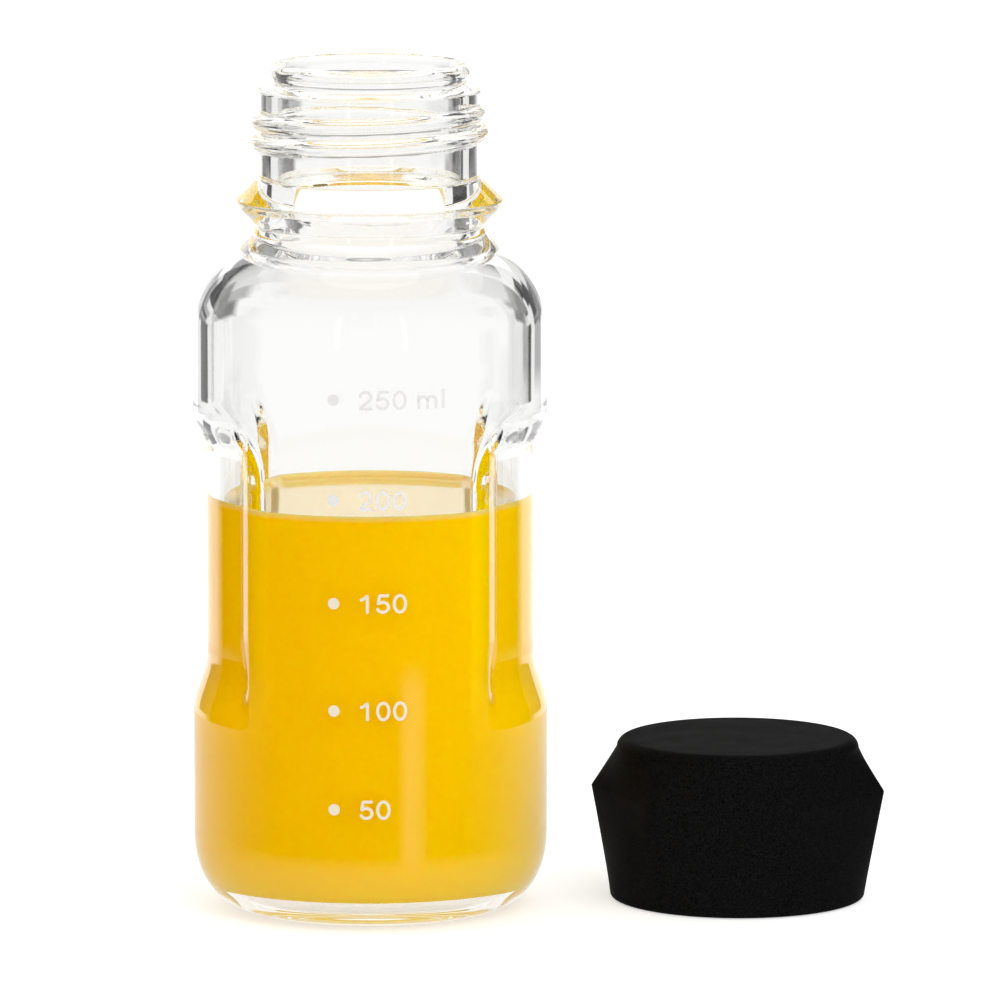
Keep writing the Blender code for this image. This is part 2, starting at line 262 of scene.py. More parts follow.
# Meshes
GLASS_COLUMNS = 368
GLASS_COLUMN_CROWDING = 0.45
CAP_COLUMNS = 192
RIM_STEP = 0.00045
NECK_STEP = 0.00022
WALL_STEP = 0.0008
INSIDE_STEP = 0.0010
FOOT_STEP = 0.0020
OUTSIDE_LEAST = 0.00014
INSIDE_LEAST = 0.00022
CAP_STEP = 0.0009
CAP_BORE_STEP = 0.0012
CAP_TOP_STEP = 0.0015
CAP_LEAST = 0.0001
NEAR = 1e-5
TINY = 1e-6


# Profiles and turned meshes

def arc(centre, width, height, start, end, count, power=2.0):
    """Points of an ellipse, or of a squarer curve where power is over 2, start and end in degrees."""
    points = []
    for step in range(count + 1):
        turn = math.radians(start + (end - start) * step / count)
        across = math.copysign(abs(math.cos(turn)) ** (2.0 / power), math.cos(turn))
        up = math.copysign(abs(math.sin(turn)) ** (2.0 / power), math.sin(turn))
        points.append((centre[0] + width * across, centre[1] + height * up))
    return points


def spread(points, spacing):
    """The same line with no two points further apart than spacing."""
    result = [points[0]]
    for (r0, z0), (r1, z1) in zip(points, points[1:]):
        length = math.hypot(r1 - r0, z1 - z0)
        count = max(1, math.ceil(length / spacing))
        result += [(r0 + (r1 - r0) * step / count, z0 + (z1 - z0) * step / count)
                   for step in range(1, count + 1)]
    return result


def softened(points, passes):
    """The line with its corners cut, its ends kept."""
    for _ in range(passes):
        middle = []
        for (r0, z0), (r1, z1) in zip(points, points[1:]):
            middle += [(0.75 * r0 + 0.25 * r1, 0.75 * z0 + 0.25 * z1),
                       (0.25 * r0 + 0.75 * r1, 0.25 * z0 + 0.75 * z1)]
        points = [points[0]] + middle[1:-1] + [points[-1]]
    return points


def thinned(points, least):
    """The line without points closer than least to the one before, its ends kept."""
    result = [points[0]]
    for point in points[1:-1]:
        if math.dist(point, result[-1]) >= least:
            result.append(point)
    return result + [points[-1]]


def smooth_step(value):
    """0 below 0, 1 above 1, and an S curve between."""
    value = np.clip(value, 0.0, 1.0)
    return value * value * (3.0 - 2.0 * value)


def soft_ramp(value, softness):
    """A straight slope from 0 to 1, mixed with a share of the S curve."""
    return softness * smooth_step(value) + (1.0 - softness) * np.clip(value, 0.0, 1.0)


def put(name, data, shades=None):
    """The object of a mesh, lamp or camera, put in the scene, with a material if it is given one."""
    if shades:
        data.materials.append(shades)
    piece = bpy.data.objects.new(name, data)
    bpy.context.scene.collection.objects.link(piece)
    return piece


def turned(name, profile, angles, rule):
    """A closed mesh turned round Z, a column at each angle, from a profile with both ends on the axis."""
    inner = np.array(profile[1:-1])
    columns = len(angles)
    radius = np.broadcast_to(inner[:, 0:1], (len(inner), columns))
    height = np.broadcast_to(inner[:, 1:2], (len(inner), columns))
    turn = np.broadcast_to(angles[None, :], (len(inner), columns))
    radius, height = rule(radius, turn, height)
    ring = np.stack([radius * np.cos(turn), radius * np.sin(turn), height], axis=2).reshape(-1, 3)
    first = np.array([[0.0, 0.0, profile[0][1]]])
    last = np.array([[0.0, 0.0, profile[-1][1]]])
    points = np.concatenate([first, ring, last])
    index = 1 + np.arange(len(inner) * columns).reshape(len(inner), columns)
    after = np.roll(index, -1, axis=1)
    quads = np.stack([index[:-1], index[1:], after[1:], after[:-1]], axis=2).reshape(-1, 4)
    faces = quads.tolist()
    faces += [(0, int(a), int(b)) for a, b in zip(index[0], after[0])]
    end = len(points) - 1
    faces += [(end, int(b), int(a)) for a, b in zip(index[-1], after[-1])]
    mesh = bpy.data.meshes.new(name)
    mesh.from_pydata(points.tolist(), [], faces)
    mesh.shade_smooth()
    return put(name, mesh)


# Forms of the glass

def grip_depth(grip, angle, height):
    """How far the wall is pressed in at each place, 0 outside the grips."""
    wrapped = np.abs(np.mod(angle + 0.5 * math.pi, math.pi) - 0.5 * math.pi)
    from_side = (grip["half_angle"] - wrapped) * BODY_RADIUS
    up = np.clip((height - GRIP_RUN_HEIGHTS[0]) / (GRIP_RUN_HEIGHTS[1] - GRIP_RUN_HEIGHTS[0]), 0.0, 1.0)
    side_run = grip["side_run"][0] + up * (grip["side_run"][1] - grip["side_run"][0])
    from_top = grip["top"] - height
    corner_side = np.maximum(grip["corner"] - from_side, 0.0)
    corner_top = np.maximum(grip["corner"] - from_top, 0.0)
    reach = np.hypot(corner_side, corner_top)
    side_share = np.where(reach > 0, (corner_side / np.maximum(reach, TINY)) ** 2, 0.5)
    run = side_run * side_share + grip["top_run"] * (1.0 - side_share)
    rounded = smooth_step((grip["corner"] - reach) / run)
    side = soft_ramp(from_side / side_run, GRIP_SIDE_SOFTNESS)
    top = smooth_step(from_top / grip["top_run"])
    bottom = smooth_step((height - grip["bottom"]) / grip["bottom_run"])
    in_corner = (corner_side > 0) & (corner_top > 0)
    pressed = np.where(in_corner, np.minimum(np.minimum(rounded, side), top), side * top)
    return grip["depth"] * bottom * pressed


def thread_rise(angle, height):
    """How far the screw thread stands out of the neck at each place."""
    rise = np.zeros_like(angle)
    for turn in range(THREAD_TURNS):
        along = angle - math.tau * turn
        fade = smooth_step(np.minimum(THREAD_START - along, along - THREAD_END) / THREAD_FADE)
        middle = THREAD_HEIGHT_AT_RIGHT + THREAD_PITCH * along / math.tau
        half_width = THREAD_HALF_WIDTH * (THREAD_END_THICKNESS + (1.0 - THREAD_END_THICKNESS) * fade)
        off = np.clip(np.abs(height - middle) / half_width, 0.0, 1.0)
        section = np.maximum(1.0 - off ** THREAD_FLATNESS, 0.0) ** THREAD_FULLNESS
        rise = np.maximum(rise, THREAD_RISE * fade * section)
    return rise


def glass_angles():
    """The angles of the glass's columns, closer together at the four upright edges of the grips."""
    even = np.arange(GLASS_COLUMNS) * (math.tau / GLASS_COLUMNS)
    return even - GLASS_COLUMN_CROWDING / 4.0 * np.sin(4.0 * (even - 0.25 * math.pi))


def glass_rule(radius, angle, height):
    """Radius and height of the glass: grips on the body, the thread on the neck."""
    outer, inner = grip_depth(GRIP_OUTSIDE, angle, height), grip_depth(GRIP_INSIDE, angle, height)
    depth = np.where(radius > WALL_MIDDLE, outer, inner)
    pressed = np.where(radius > GRIP_LEAST_RADIUS, depth, 0.0)
    on_neck = (np.abs(radius - NECK_RADIUS) < NEAR) & (height > COLLAR_CONE_TOP)
    return radius - pressed + np.where(on_neck, thread_rise(angle, height), 0.0), height


def outer_profile():
    """The outside, from the rim's top down to the middle of the underside."""
    shoulder_centre = (BODY_RADIUS - SHOULDER_RADIUS, SHOULDER_START)
    shoulder_end = math.degrees(math.acos((SHOULDER_END_RADIUS - shoulder_centre[0]) / SHOULDER_RADIUS))
    rim = arc((LIP_RADIUS - LIP_ROUNDING, LIP_WIDEST), LIP_ROUNDING, TOTAL_HEIGHT - LIP_WIDEST, 90, 0, 16)
    rim += [(LIP_BELOW_RADIUS, LIP_WIDEST - LIP_BELOW), (LIP_ROOT_RADIUS, LIP_ROOT)]
    rim += [(NECK_RADIUS - NECK_EDGE_RADIUS, NECK_TOP + LEDGE_RISE)]
    rim += arc((NECK_RADIUS - NECK_EDGE_RADIUS, NECK_TOP - NECK_EDGE_RADIUS),
               NECK_EDGE_RADIUS, NECK_EDGE_RADIUS, 60, 0, 5)
    neck = [(NECK_RADIUS, NECK_TOP - NECK_EDGE_RADIUS), (NECK_RADIUS, COLLAR_CONE_TOP)]
    collar = [(NECK_RADIUS, COLLAR_CONE_TOP)] + COLLAR_EDGE + NECK_ROOT
    shoulder = arc(shoulder_centre, SHOULDER_RADIUS, SHOULDER_RADIUS, shoulder_end, 0, 36)
    heel = arc((HEEL_FOOT_RADIUS, HEEL_HEIGHT), BODY_RADIUS - HEEL_FOOT_RADIUS, HEEL_HEIGHT,
               0, -90, 40, HEEL_POWER)
    upper = softened(spread(rim, RIM_STEP), 2)
    lower = softened(spread(collar + shoulder[:1], WALL_STEP), 3)
    neck = spread(neck, NECK_STEP)
    body = spread([shoulder[-1], heel[0]], WALL_STEP)
    foot = spread([heel[-1], (0.0, 0.0)], FOOT_STEP)
    points = upper + neck[1:-1] + lower + shoulder[1:-1] + body + heel[1:-1] + foot
    return thinned(points, OUTSIDE_LEAST)


def inner_profile(outward=0.0):
    """The room inside, from the middle of the floor up to the mouth, moved outward by a little."""
    inner_radius = BODY_RADIUS - WALL + outward
    arc_radius = SHOULDER_RADIUS - WALL
    shoulder_centre = (BODY_RADIUS - SHOULDER_RADIUS, SHOULDER_START)
    shoulder_end = math.degrees(math.acos((INNER_SHOULDER_END_RADIUS - shoulder_centre[0]) / arc_radius))
    heel_centre = (inner_radius - INNER_HEEL_WIDTH, FLOOR_HEIGHT - outward + INNER_HEEL_HEIGHT)
    heel = arc(heel_centre, INNER_HEEL_WIDTH, INNER_HEEL_HEIGHT, -90, 0, 24)
    floor = softened(spread([(0.0, FLOOR_HEIGHT - outward + FLOOR_DOME), heel[0]], INSIDE_STEP), 2)
    body = spread([heel[-1], (inner_radius, SHOULDER_START)], INSIDE_STEP)
    shoulder = arc(shoulder_centre, arc_radius, arc_radius, 0, shoulder_end, 30)
    bore = [shoulder[-1]] + NECK_BORE_FLARE + [(NECK_BORE_RADIUS, NECK_BORE_START)]
    bore += [(NECK_BORE_RADIUS, MOUTH_NARROWING)]
    bore += [(MOUTH_RADIUS, MOUTH_START), (MOUTH_RADIUS, TOTAL_HEIGHT - MOUTH_EDGE)]
    bore += [(MOUTH_RADIUS + MOUTH_EDGE_FLARE, TOTAL_HEIGHT - RIM_INNER_DROP)]
    bore += [(LIP_RADIUS - LIP_ROUNDING, TOTAL_HEIGHT)]
    bore = softened(spread(bore, WALL_STEP), 3)
    points = floor + heel[1:-1] + body + shoulder[1:-1] + bore
    return thinned(points, INSIDE_LEAST)


def make_glass():
    """The bottle: one closed glass wall, inside and outside."""
    profile = inner_profile()[:-1] + outer_profile()
    return turned("glass_bottle_fine", profile, glass_angles(), glass_rule)


# Juice

def juice_rule(radius, angle, height):
    """Radius and height of the juice: the grips press it in, less towards the middle."""
    inner = BODY_RADIUS - WALL
    share = smooth_step((radius - 0.5 * inner) / (0.5 * inner))
    moved = radius - share * grip_depth(GRIP_INSIDE, angle, height)
    top = JUICE_LEVEL + JUICE_CLIMB * np.exp((radius - inner) / JUICE_CLIMB_LENGTH)
    on_top = height > JUICE_LEVEL - TINY
    return moved, np.where(on_top, np.minimum(top, JUICE_LEVEL + JUICE_CLIMB), height)


def off_floor(point):
    """A point of the juice's outside; on the floor and low on the heel it stays a hair off the glass."""
    low, high = JUICE_HEEL_CONTACT
    share = 1.0 - float(smooth_step((point[1] - low) / (high - low)))
    inward = share * (JUICE_INTO_WALL + JUICE_OFF_FLOOR)
    return max(point[0] - inward, 0.0), point[1] + inward


def make_juice():
    """The juice, reaching just into the glass and climbing it a little, and its top's count of rows."""
    inner = BODY_RADIUS - WALL
    room = inner_profile(JUICE_INTO_WALL)
    sides = [off_floor(point) for point in room if point[1] < JUICE_LEVEL - JUICE_TOP_MARGIN]
    top = [(0.0, JUICE_LEVEL)]
    top += [(inner * share, JUICE_LEVEL) for share in np.linspace(*JUICE_TOP_SHARES, JUICE_TOP_ROWS)]
    top += [(inner - back, JUICE_LEVEL) for back in np.geomspace(*JUICE_EDGE_DISTANCES, JUICE_EDGE_ROWS)]
    top += [(inner + JUICE_INTO_WALL, JUICE_LEVEL)]
    profile = top + sides[::-1]
    return turned("orange_juice_fine", profile, glass_angles(), juice_rule), len(top)


# Cap

def hexagon_ratio(angle):
    """Radius of the soft-cornered hexagon at an angle, as a ratio of its apothem."""
    total = np.zeros_like(angle)
    for side in range(6):
        facing = np.cos(angle - CAP_HEX_TURN - math.radians(30 + 60 * side))
        total = total + np.maximum(facing, 0.0) ** CAP_HEX_SHARPNESS
    return total ** (-1.0 / CAP_HEX_SHARPNESS)


def cap_rule(radius, angle, height):
    """Radius and height of the cap: its outside is drawn out to the hexagonal ridge."""
    inside = (radius < CAP_BORE_RADIUS + TINY) & (height < CAP_BORE_DEPTH + TINY)
    upper = (CAP_HEIGHT - CAP_TOP_EDGE - height) / (CAP_HEIGHT - CAP_TOP_EDGE - CAP_HEX_HEIGHT)
    lower = (height - CAP_FOOT_EDGE) / (CAP_HEX_HEIGHT - CAP_FOOT_EDGE)
    share = np.clip(np.where(height > CAP_HEX_HEIGHT, upper, lower), 0.0, 1.0)
    drawn = radius * (1.0 + share * (hexagon_ratio(angle) - 1.0))
    return np.where(inside, radius, drawn), height


def cap_profile():
    """The cap's wall at the middle of a side: over the top, down the outside, and up the bore."""
    top_centre = (CAP_TOP_RADIUS - CAP_TOP_EDGE, CAP_HEIGHT - CAP_TOP_EDGE)
    foot_centre = (CAP_ROUND_RADIUS - CAP_FOOT_EDGE, CAP_FOOT_EDGE)
    outside = arc(top_centre, CAP_TOP_EDGE, CAP_TOP_EDGE, 90, 0, 14)
    outside += [(CAP_HEX_APOTHEM, CAP_HEX_HEIGHT)]
    outside += arc(foot_centre, CAP_FOOT_EDGE, CAP_FOOT_EDGE, 0, -90, 8)
    outside = softened(spread(outside, CAP_STEP), 3)
    bore = [outside[-1], (CAP_BORE_RADIUS, 0.0), (CAP_BORE_RADIUS, CAP_BORE_DEPTH - CAP_BORE_EDGE)]
    bore += [(CAP_BORE_RADIUS - CAP_BORE_EDGE, CAP_BORE_DEPTH), (0.0, CAP_BORE_DEPTH)]
    top = spread([(0.0, CAP_HEIGHT), outside[0]], CAP_TOP_STEP)
    points = top[:-1] + outside + softened(spread(bore, CAP_BORE_STEP), 2)[1:]
    return thinned(points, CAP_LEAST)


def make_cap():
    """The cap, standing mouth down beside the bottle."""
    angles = np.arange(CAP_COLUMNS) * (math.tau / CAP_COLUMNS)
    cap = turned("cap_fine", cap_profile(), angles, cap_rule)
    cap.location = CAP_PLACE
    return cap


# Volume marks

def bend(points, steps=10):
    """A stroke's path. An entry is a point, or an arc: its centre, two radii, start and end."""
    path = []
    for item in points:
        if len(item) == 2:
            path.append(item)
            continue
        centre_x, centre_y, radius_x, radius_y, start, end = item
        for step in range(steps + 1):
            turn = math.radians(start + (end - start) * step / steps)
            path.append((centre_x + radius_x * math.cos(turn), centre_y + radius_y * math.sin(turn)))
    return path


# Each character: its width, then its strokes in units of the figures' height
GLYPHS = {
    "0": (0.83, [bend([(0.415, 0.50, 0.28, 0.41, 90, 450)], 40)]),
    "1": (0.83, [bend([(0.17, 0.70), (0.36, 0.79), (0.47, 0.91), (0.47, 0.09)])]),
    "2": (0.83, [
        bend([(0.40, 0.66, 0.27, 0.25, 175, -25), (0.55, 0.44), (0.17, 0.15), (0.14, 0.09), (0.69, 0.09)]),
    ]),
    "5": (0.83, [
        bend([(0.65, 0.91), (0.25, 0.91), (0.17, 0.50), (0.40, 0.34, 0.28, 0.25, 125, -155)], 14),
    ]),
    "m": (1.22, [
        bend([(0.14, 0.66), (0.14, 0.09)]),
        bend([(0.14, 0.46), (0.365, 0.45, 0.225, 0.19, 150, 0), (0.59, 0.09)]),
        bend([(0.59, 0.46), (0.815, 0.45, 0.225, 0.19, 150, 0), (1.04, 0.09)]),
    ]),
    "l": (0.40, [bend([(0.20, 0.93), (0.20, 0.09)])]),
    " ": (0.40, []),
}


def round_end(point, way, across, reach, turn):
    """The pair of points across a stroke's round end, at a turn round it."""
    middle = point + way * reach * math.sin(turn)
    return middle + across * math.cos(turn), middle - across * math.cos(turn)


def stroke_outline(path, half_width):
    """Pairs of points across a stroke along its path, with round ends where it isn't a loop."""
    closed = math.dist(path[0], path[-1]) < TINY
    fine = [Vector(path[0])]
    for start, end in zip(path, path[1:]):
        start, end = Vector(start), Vector(end)
        count = max(1, math.ceil((end - start).length / MARK_STROKE_STEP))
        fine += [start.lerp(end, step / count) for step in range(1, count + 1)]
    rows = []
    ways = []
    for index, point in enumerate(fine):
        before = fine[index - 1] if index else (fine[-2] if closed else point)
        after = fine[index + 1] if index < len(fine) - 1 else (fine[1] if closed else point)
        way = (after - before).normalized()
        across = Vector((-way.y, way.x)) * half_width
        ways.append((way, across))
        rows.append((point + across, point - across))
    if closed:
        return rows[:-1], True
    turns = [math.radians(value) for value in MARK_STROKE_END]
    starting = [round_end(fine[0], *ways[0], -half_width, turn) for turn in turns]
    ending = [round_end(fine[-1], *ways[-1], half_width, turn) for turn in reversed(turns)]
    return starting + rows + ending, False


def add_slab(points, faces, rows, closed, place):
    """A thin closed solid over a strip of pairs, laid on the glass by place(x, y, proud)."""
    base = len(points)
    for left, right in rows:
        points += [place(*left, 1), place(*right, 1), place(*right, 0), place(*left, 0)]
    count = len(rows)
    for index in range(count if closed else count - 1):
        a = base + 4 * index
        b = base + 4 * ((index + 1) % count)
        for side in range(4):
            after = (side + 1) % 4
            faces.append((a + side, b + side, b + after, a + after))
    if not closed:
        faces.append((base, base + 1, base + 2, base + 3))
        end = base + 4 * (count - 1)
        faces.append((end + 3, end + 2, end + 1, end))


def make_mark(name, height, text):
    """One dot and its number, printed round the front of the bottle."""
    points, faces = [], []

    def placer(angle, foot):
        def place(x, y, proud):
            radius = BODY_RADIUS + (MARK_PROUD if proud else -MARK_SUNK)
            turn = angle + x / BODY_RADIUS
            return (radius * math.sin(turn), -radius * math.cos(turn), foot + y)
        return place

    rows = []
    for step in range(1, MARK_DOT_STEPS):
        turn = math.pi * step / MARK_DOT_STEPS
        across, up = -MARK_DOT_RADIUS * math.cos(turn), MARK_DOT_RADIUS * math.sin(turn)
        rows.append(((across, up), (across, -up)))
    add_slab(points, faces, rows, False, placer(MARK_DOT_ANGLE, height))
    pen = 0.0
    figure = placer(MARK_TEXT_ANGLE, height - 0.5 * MARK_HEIGHT)
    for character in text:
        width, strokes = GLYPHS[character]
        for stroke in strokes:
            rows, closed = stroke_outline([(pen + x, y) for x, y in stroke], MARK_STROKE / MARK_HEIGHT)
            rows = [(left * MARK_HEIGHT, right * MARK_HEIGHT) for left, right in rows]
            add_slab(points, faces, rows, closed, figure)
        pen += width
    mesh = bpy.data.meshes.new(name)
    mesh.from_pydata(points, [], faces)
    mesh.validate()
    return put(name, mesh)


# Materials

def material(name, **inputs):
    """A Principled material, its nodes, its links and its shader."""
    made = bpy.data.materials.new(name)
    made.use_nodes = True
    nodes = made.node_tree.nodes
    shader = nodes["Principled BSDF"]
    for key, value in inputs.items():
        shader.inputs[key.replace("_", " ")].default_value = value
    return made, nodes, made.node_tree.links, shader


def noise(nodes, links, scale, detail=2.0, roughness=0.5, stretch=None):
    """Noise in the object's own coordinates."""
    place = nodes.new("ShaderNodeTexCoord")
    texture = nodes.new("ShaderNodeTexNoise")
    texture.inputs["Scale"].default_value = scale
    texture.inputs["Detail"].default_value = detail
    texture.inputs["Roughness"].default_value = roughness
    if stretch:
        mapping = nodes.new("ShaderNodeMapping")
        mapping.inputs["Scale"].default_value = stretch
        links.new(place.outputs["Object"], mapping.inputs["Vector"])
        links.new(mapping.outputs["Vector"], texture.inputs["Vector"])
    else:
        links.new(place.outputs["Object"], texture.inputs["Vector"])
    return texture.outputs["Fac"]


def ramp(nodes, links, value, stops):
    """A colour ramp over a value."""
    node = nodes.new("ShaderNodeValToRGB")
    elements = node.color_ramp.elements
    while len(elements) < len(stops):
        elements.new(0.5)
    for element, (place, colour) in zip(elements, stops):
        element.position = place
        element.color = (*colour, 1.0)
    links.new(value, node.inputs["Fac"])
    return node.outputs["Color"]


def bump(nodes, links, shader, value, strength, distance):
    """Bump from a value."""
    node = nodes.new("ShaderNodeBump")
    node.inputs["Strength"].default_value = strength
    node.inputs["Distance"].default_value = distance
    links.new(value, node.inputs["Height"])
    links.new(node.outputs["Normal"], shader.inputs["Normal"])


def glass_material():
    """Clear borosilicate glass, with the faint waves of a pressed and blown wall."""
    made, nodes, links, shader = material(
        "clear_glass_fine", Base_Color=(0.996, 0.998, 0.990, 1.0), Roughness=0.0, IOR=1.473,
        Transmission_Weight=1.0)
    bump(nodes, links, shader, noise(nodes, links, 90.0, 1.0, 0.4, (1.0, 1.0, 0.35)), 0.25, 0.00012)
    return made


def juice_material(name, specular, coat):
    """Cloudy orange juice: light goes a little way in, red further than green, and a painted lighter band,
    standing in for light through its thin edge, ends it where it climbs the glass.
    """
    made, nodes, links, shader = material(
        name, Roughness=0.25, IOR=1.35, Specular_IOR_Level=specular, Coat_Weight=coat,
        Coat_Roughness=0.03, Coat_IOR=1.6, Subsurface_Weight=1.0, Subsurface_Scale=0.0010)
    shader.subsurface_method = "RANDOM_WALK"
    shader.inputs["Subsurface Radius"].default_value = (1.0, 0.65, 0.20)
    colour = ramp(nodes, links, noise(nodes, links, 900.0, 4.0, 0.6), [
        (0.35, (0.920, 0.600, 0.0003)), (0.65, (0.935, 0.626, 0.0006))])
    place = nodes.new("ShaderNodeTexCoord")
    split = nodes.new("ShaderNodeSeparateXYZ")
    links.new(place.outputs["Object"], split.inputs["Vector"])
    # Painted light: where the juice climbs the glass it is painted a paler colour for the light through its
    # thin edge
    painted_band = nodes.new("ShaderNodeMapRange")
    painted_band.inputs["From Min"].default_value = JUICE_LEVEL + JUICE_PAINTED_BAND[0]
    painted_band.inputs["From Max"].default_value = JUICE_LEVEL + JUICE_PAINTED_BAND[1]
    links.new(split.outputs["Z"], painted_band.inputs["Value"])
    painted_paler = nodes.new("ShaderNodeMix")
    painted_paler.data_type = "RGBA"
    links.new(painted_band.outputs["Result"], painted_paler.inputs[0])
    links.new(colour, painted_paler.inputs[6])
    painted_paler.inputs[7].default_value = (*JUICE_PAINTED_BAND_COLOUR, 1.0)
    links.new(painted_paler.outputs[2], shader.inputs["Base Color"])
    return made


def enamel_material(name, darker, lighter):
    """Fired enamel of the printed marks, its colour between two tones."""
    made, nodes, links, shader = material(name, Roughness=0.45, IOR=1.5, Specular_IOR_Level=0.3)
    colour = ramp(nodes, links, noise(nodes, links, 2600.0, 3.0), [(0.3, darker), (0.7, lighter)])
    links.new(colour, shader.inputs["Base Color"])
    bump(nodes, links, shader, noise(nodes, links, 5200.0, 2.0), 0.3, 0.00001)
    return made


def cap_material():
    """Matte black silicone with a fine grain."""
    made, nodes, links, shader = material("black_silicone_fine", IOR=1.42, Specular_IOR_Level=0.014)
    grain = noise(nodes, links, 3200.0, 3.0, 0.6)
    colour = ramp(nodes, links, grain, [(0.3, (0.0006, 0.0006, 0.0006)), (0.7, (0.008, 0.008, 0.008))])
    links.new(colour, shader.inputs["Base Color"])
    wear = nodes.new("ShaderNodeMapRange")
    wear.inputs["To Min"].default_value = 0.55
    wear.inputs["To Max"].default_value = 0.72
    links.new(noise(nodes, links, 160.0, 3.0), wear.inputs["Value"])
    links.new(wear.outputs["Result"], shader.inputs["Roughness"])
    bump(nodes, links, shader, grain, 0.5, 0.00006)
    return made


def dress(piece, *materials):
    """Give a piece its materials."""
    piece.data.materials.clear()
    for item in materials:
        piece.data.materials.append(item)


# Pieces

def make_pieces():
    """All the pieces of the object, each in the place of its solid or on it."""
    glass = make_glass()
    dress(glass, glass_material())
    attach(glass, "root")
    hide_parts("glass_bottle")

    juice, top_rows = make_juice()
    body, top = juice_material("orange_juice_body", 0.0, 0.0), juice_material("orange_juice_top", 0.5, 1.0)
    dress(juice, body, top)
    for polygon in juice.data.polygons:
        if max(polygon.vertices) < (top_rows - 1) * GLASS_COLUMNS:
            polygon.material_index = 1
    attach(juice, "root")
    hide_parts("orange_juice")

    cap = make_cap()
    dress(cap, cap_material())
    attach(cap, "root")
    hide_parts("cap")
    cap.visible_glossy = False

    over_glass = enamel_material("white_enamel", (0.62, 0.61, 0.59), (0.68, 0.67, 0.65))
    # The marks over the juice are the same enamel painted warmer, standing in for the juice's light shining
    # through it
    painted_juice_glow_enamel = enamel_material("enamel_painted_juice_glow", (0.66, 0.585, 0.455), (0.715, 0.640, 0.505))
    for height, text in MARKS:
        mark = make_mark("volume_mark_" + text.split()[0], height, text)
        dress(mark, over_glass if height > JUICE_LEVEL else painted_juice_glow_enamel)
        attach(mark, "root")


# Stage

def emission(name, strength=1.0):
    """A white light-giving stage material, its nodes, its links and its light."""
    made = bpy.data.materials.new(name)
    made.use_nodes = True
    nodes = made.node_tree.nodes
    links = made.node_tree.links
    nodes.clear()
    light = nodes.new("ShaderNodeEmission")
    out = nodes.new("ShaderNodeOutputMaterial")
    light.inputs["Color"].default_value = (1.0, 1.0, 1.0, 1.0)
    light.inputs["Strength"].default_value = strength
    links.new(light.outputs["Emission"], out.inputs["Surface"])
    return made, nodes, links, light


def seen_only_by(piece, *kinds):
    """Let only these kinds of rays see a stage object."""
    for kind in ("camera", "diffuse", "glossy", "transmission", "volume_scatter", "shadow"):
        setattr(piece, "visible_" + kind, kind in kinds)


def staged(name, points, faces, shades, *kinds):
    """A stage object with one material, that only these kinds of rays see."""
    mesh = bpy.data.meshes.new(name)
    mesh.from_pydata(points, [], faces)
    piece = put(name, mesh, shades)
    seen_only_by(piece, *kinds)
    return piece


def wall_strip(name, radius, start, end, low, high, columns, shades, *kinds):
    """An upright curved stage wall round the axis, from start to end in degrees from the front."""
    points = []
    for step in range(columns + 1):
        turn = math.radians(start + (end - start) * step / columns)
        across, back = radius * math.sin(turn), -radius * math.cos(turn)
        points += [(across, back, low), (across, back, high)]
    faces = [(2 * step, 2 * step + 2, 2 * step + 3, 2 * step + 1) for step in range(columns)]
    staged(name, points, faces, shades, *kinds)


def soft_card(name, radius, start, end, low, high, shades, *kinds):
    """An upright stage card round the axis; its share falls from 1 to 0 past its four edges."""
    inner = np.linspace(start, end, max(CARD_LEAST_COLUMNS, math.ceil(end - start)) + 1)
    azimuths = [start - CARD_FADE_ANGLE, *inner, end + CARD_FADE_ANGLE]
    heights = [low - CARD_FADE_HEIGHT, low, high, high + CARD_FADE_HEIGHT]
    columns, rows = len(azimuths) - 1, len(heights) - 1
    points, shares, faces = [], [], []
    for column, azimuth in enumerate(azimuths):
        turn = math.radians(azimuth)
        for row, height in enumerate(heights):
            points.append((radius * math.sin(turn), -radius * math.cos(turn), height))
            shares.append(1.0 if 0 < column < columns and 0 < row < rows else 0.0)
    for column in range(columns):
        for row in range(rows):
            corner = column * (rows + 1) + row
            beside = corner + rows + 1
            faces.append((corner, beside, beside + 1, corner + 1))
    card = staged(name, points, faces, shades, *kinds)
    card.data.attributes.new("share", "FLOAT", "POINT").data.foreach_set("value", shares)


def faded(nodes, links, share):
    """Make a stage material clear where a share is 0, and leave it as it is where the share is 1."""
    surface = nodes["Material Output"].inputs["Surface"]
    shader = surface.links[0].from_socket
    clear = nodes.new("ShaderNodeBsdfTransparent")
    either = nodes.new("ShaderNodeMixShader")
    links.new(share, either.inputs["Fac"])
    links.new(clear.outputs["BSDF"], either.inputs[1])
    links.new(shader, either.inputs[2])
    links.new(either.outputs["Shader"], surface)


def light_the_juice(nodes, links, light, lighting, tint=WHITE_LIGHT):
    """Give a stage material another strength and tint for its light on the juice than for how it shows."""
    out = nodes["Material Output"]
    path = nodes.new("ShaderNodeLightPath")
    fill = nodes.new("ShaderNodeEmission")
    either = nodes.new("ShaderNodeMixShader")
    links.new(path.outputs["Diffuse Depth"], either.inputs["Fac"])
    links.new(light.outputs["Emission"], either.inputs[1])
    links.new(fill.outputs["Emission"], either.inputs[2])
    links.new(either.outputs["Shader"], out.inputs["Surface"])
    if isinstance(tint, tuple):
        fill.inputs["Color"].default_value = (*tint, 1.0)
    else:
        links.new(tint, fill.inputs["Color"])
    if isinstance(lighting, float):
        fill.inputs["Strength"].default_value = lighting
    else:
        links.new(lighting, fill.inputs["Strength"])


def disc(name, radius, height, shades, *kinds):
    """A level stage disc on the axis."""
    points = [(radius * math.sin(turn), radius * math.cos(turn), height)
              for turn in np.linspace(0.0, math.tau, DISC_CORNERS + 1)[:-1]]
    staged(name, points, [tuple(range(DISC_CORNERS))], shades, *kinds)


